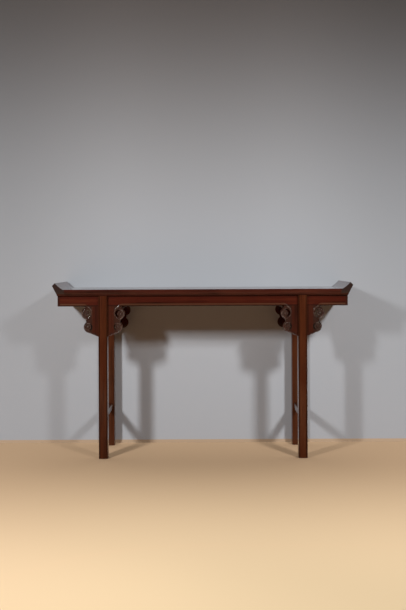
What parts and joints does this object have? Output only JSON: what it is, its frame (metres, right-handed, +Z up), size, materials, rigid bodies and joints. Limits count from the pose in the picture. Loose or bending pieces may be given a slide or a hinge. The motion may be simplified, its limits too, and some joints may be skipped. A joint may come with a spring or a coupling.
{
  "type": "chinese altar table",
  "caption": "Long narrow altar table with upturned ends, recessed forked legs, pierced cloud-scroll spandrels and a low stretcher between the legs at each end.",
  "frame": {"origin": "on the floor under the middle of the table", "axes": "+X along the table's length, +Y from the front to the back, +Z up"},
  "size_m": [1.42, 0.38, 0.831],
  "materials": {
    "panel_wood": "high-gloss clear lacquer over dark red-brown hardwood",
    "frame_wood": "high-gloss clear lacquer over dark red-brown hardwood, moulded edge",
    "carved_wood": "glossy lacquer, darker in the hollows of the carving",
    "apron_wood": "high-gloss lacquer over red-brown hardwood",
    "leg_wood": "high-gloss lacquer over red-brown hardwood, slightly worn on the edges",
    "hidden_wood": "bare oiled hardwood, unlacquered"
  },
  "bodies": {
    "root": {"back_apron": "apron_wood", "back_left_inner_spandrel": "carved_wood", "back_left_leg": "leg_wood", "back_left_outer_spandrel": "carved_wood", "back_rail": "frame_wood", "back_right_inner_spandrel": "carved_wood", "back_right_leg": "leg_wood", "back_right_outer_spandrel": "carved_wood", "batten_1": "hidden_wood", "batten_2": "hidden_wood", "batten_3": "hidden_wood", "batten_4": "hidden_wood", "corner_pins": "hidden_wood", "front_apron": "apron_wood", "front_left_inner_spandrel": "carved_wood", "front_left_leg": "leg_wood", "front_left_outer_spandrel": "carved_wood", "front_rail": "frame_wood", "front_right_inner_spandrel": "carved_wood", "front_right_leg": "leg_wood", "front_right_outer_spandrel": "carved_wood", "left_end_apron": "apron_wood", "left_end_board": "frame_wood", "left_stretcher": "leg_wood", "right_end_apron": "apron_wood", "right_end_board": "frame_wood", "right_stretcher": "leg_wood", "stretcher_pins": "hidden_wood", "top_panel": "panel_wood"}
  },
  "joints": []
}
